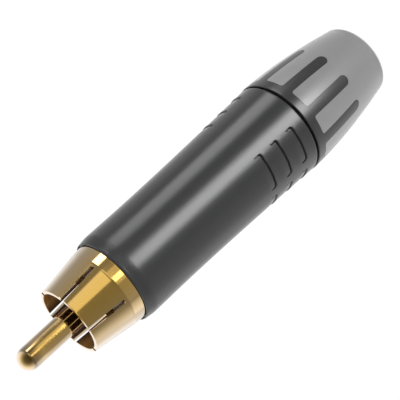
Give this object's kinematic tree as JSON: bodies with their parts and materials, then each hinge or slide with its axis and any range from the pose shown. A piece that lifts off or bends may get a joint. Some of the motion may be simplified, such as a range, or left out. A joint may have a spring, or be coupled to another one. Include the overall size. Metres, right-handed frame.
{
  "type": "rca plug",
  "caption": "Phono cable plug: gold split collar and centre pin, turned metal shell with grip steps, two-shot boot that screws in and clamps the cable.",
  "frame": {"origin": "centre of the flat end of the boot, where the cable enters; the lowest point", "axes": "+Z along the axis from the boot to the tip of the pin; -Y towards the side that the picture shows"},
  "size_m": [0.0142, 0.0142, 0.0641],
  "materials": {
    "shell_paint": "satin dark grey paint over a cast metal shell",
    "gold_plate": "turned brass, gold plated, bright",
    "insulator": "ivory moulded resin",
    "tinned_brass": "tinned, dull silver",
    "sleeve_film": "thin translucent film sleeve",
    "chuck_resin": "black moulded resin",
    "boot_resin": "dark grey moulded resin, fine satin texture",
    "boot_rubber": "light grey soft rubber, matt"
  },
  "bodies": {
    "root": {"shell": "shell_paint", "collar": "gold_plate", "centre_pin": "gold_plate", "front_insulator": "insulator", "rear_insulator": "insulator", "ground_tag": "tinned_brass", "clamp_nut": "tinned_brass", "liner_sleeve": "sleeve_film"},
    "chuck": {"chuck": "chuck_resin"},
    "boot": {"boot_body": "boot_resin", "boot_grip": "boot_rubber"}
  },
  "joints": [
    {"name": "chuck_slide", "type": "slide", "parent": "root", "child": "chuck", "axis": [0, 0, -1], "range_m": [0, 0.006]},
    {"name": "boot_turn", "type": "hinge", "parent": "chuck", "child": "boot", "pos_m": [0, 0, 0.01676], "axis": [0, 0, -1], "range_deg": [0, 1440]}
  ],
  "couplings": [
    {"joint": "boot_turn", "follows": "chuck_slide", "rad_per_m": 4188.8}
  ]
}
